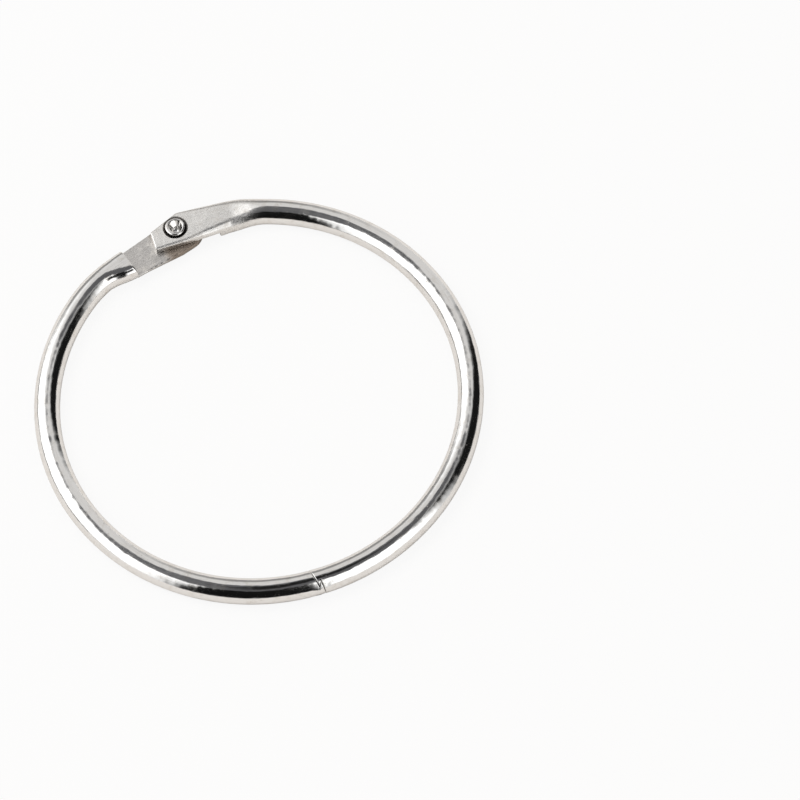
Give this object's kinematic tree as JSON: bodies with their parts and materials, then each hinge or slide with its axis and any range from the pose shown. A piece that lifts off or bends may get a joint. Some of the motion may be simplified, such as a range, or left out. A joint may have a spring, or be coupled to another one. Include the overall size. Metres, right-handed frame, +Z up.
{
  "type": "binder ring",
  "caption": "Hinged binder ring of round steel wire, lying closed: two half rings lapped on a rivet, with a hooked snap latch opposite.",
  "frame": {"origin": "centre of the closed ring, on the surface that it lies on", "axes": "+Z up, square to the ring; +Y from the ring's centre to the hinge rivet; the latch is near -Y; the latch half is on the +X side"},
  "size_m": [0.0574, 0.0575, 0.0033],
  "materials": {
    "plated_wire": "bright nickel plate on steel wire",
    "plated_rivet": "bright nickel plate on a steel rivet"
  },
  "bodies": {
    "hinge_side": {"hinge_half": "plated_wire", "hinge_rivet": "plated_rivet"},
    "latch_side": {"latch_half": "plated_wire"}
  },
  "joints": [
    {"name": "ring_hinge", "type": "hinge", "parent": "hinge_side", "child": "latch_side", "pos_m": [0, 0.0268, 0.00165], "axis": [0, 0, 1], "range_deg": [0, 150]}
  ]
}
